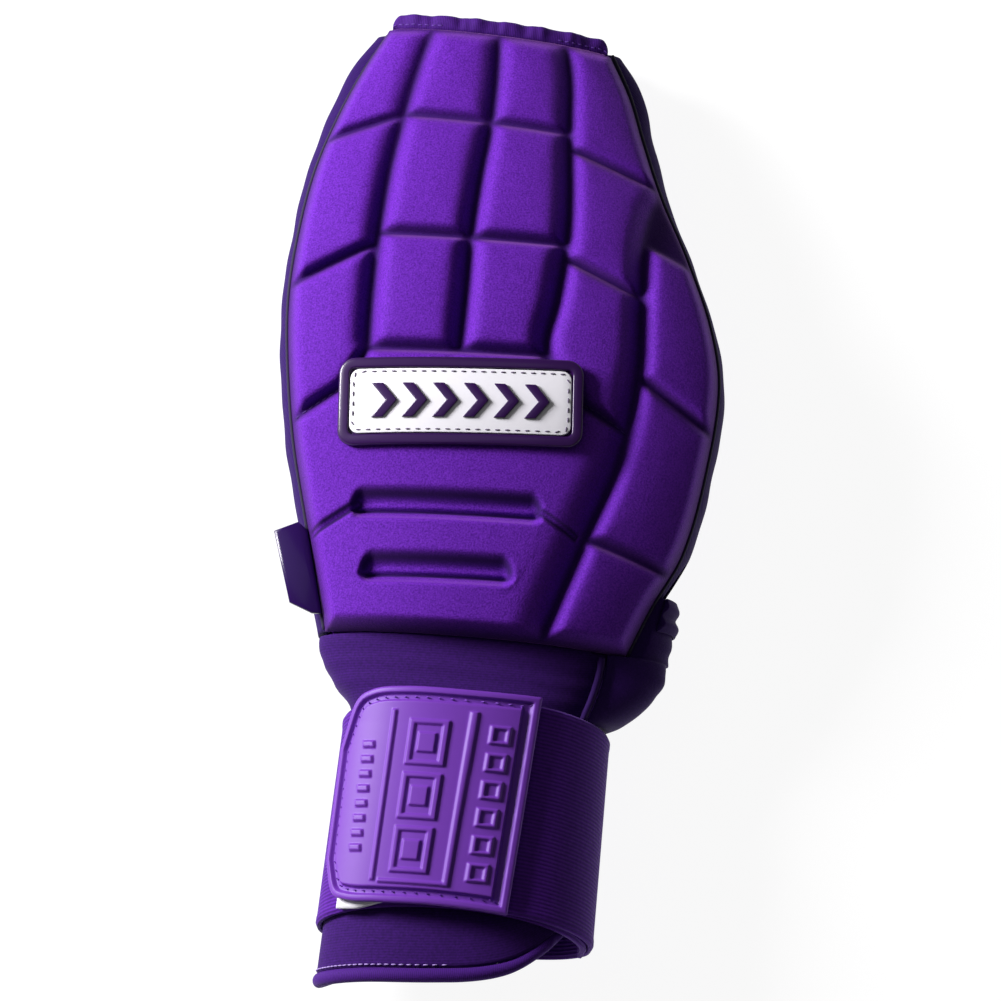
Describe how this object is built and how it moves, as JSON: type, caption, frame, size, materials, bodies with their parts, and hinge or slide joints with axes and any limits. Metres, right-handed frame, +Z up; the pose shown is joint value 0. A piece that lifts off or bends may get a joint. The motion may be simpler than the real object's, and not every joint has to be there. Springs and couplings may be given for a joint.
{
  "type": "sliding mitt",
  "caption": "Padded sliding mitt: segmented back pad, palm pad, hollow for the hand, knit cuff and wrist strap.",
  "frame": {"origin": "under the middle of the whole mitt, on the surface that its palm side lies on", "axes": "+Y runs from the wrist towards the fingertips, +X towards the thumb side, +Z up out of the back of the hand"},
  "size_m": [0.1444, 0.3198, 0.0643],
  "materials": {
    "pad_fabric": "moulded stretch fabric over foam, fine grain, soft sheen",
    "side_fabric": "darker twill stretch fabric",
    "cuff_knit": "neoprene-backed knit with fine rows",
    "stretch_knit": "smooth stretch knit",
    "binding": "folded edge binding with stitches",
    "strap_web": "ribbed elastic webbing",
    "patch_rubber": "satin moulded rubber",
    "badge_gloss": "dark glossy moulded plastic",
    "badge_plate": "white satin plate with an edge stitch",
    "tag_gloss": "glossy moulded tag with a paler edge",
    "hook_tape": "white hook tape"
  },
  "bodies": {
    "root": {"back_pad": "pad_fabric", "palm_pad": "pad_fabric", "gusset_left": "side_fabric", "gusset_right": "side_fabric", "tip_hem_back": "side_fabric", "tip_hem_palm": "side_fabric", "badge_frame": "badge_gloss", "badge_plate": "badge_plate", "side_tag": "tag_gloss", "cuff": "cuff_knit", "cuff_binding": "binding", "thumb_gusset": "stretch_knit", "thumb_hem": "stretch_knit", "thumb_piping": "binding", "wrist_strap": "strap_web", "strap_patch": "patch_rubber", "hook_pad": "hook_tape"}
  },
  "joints": []
}
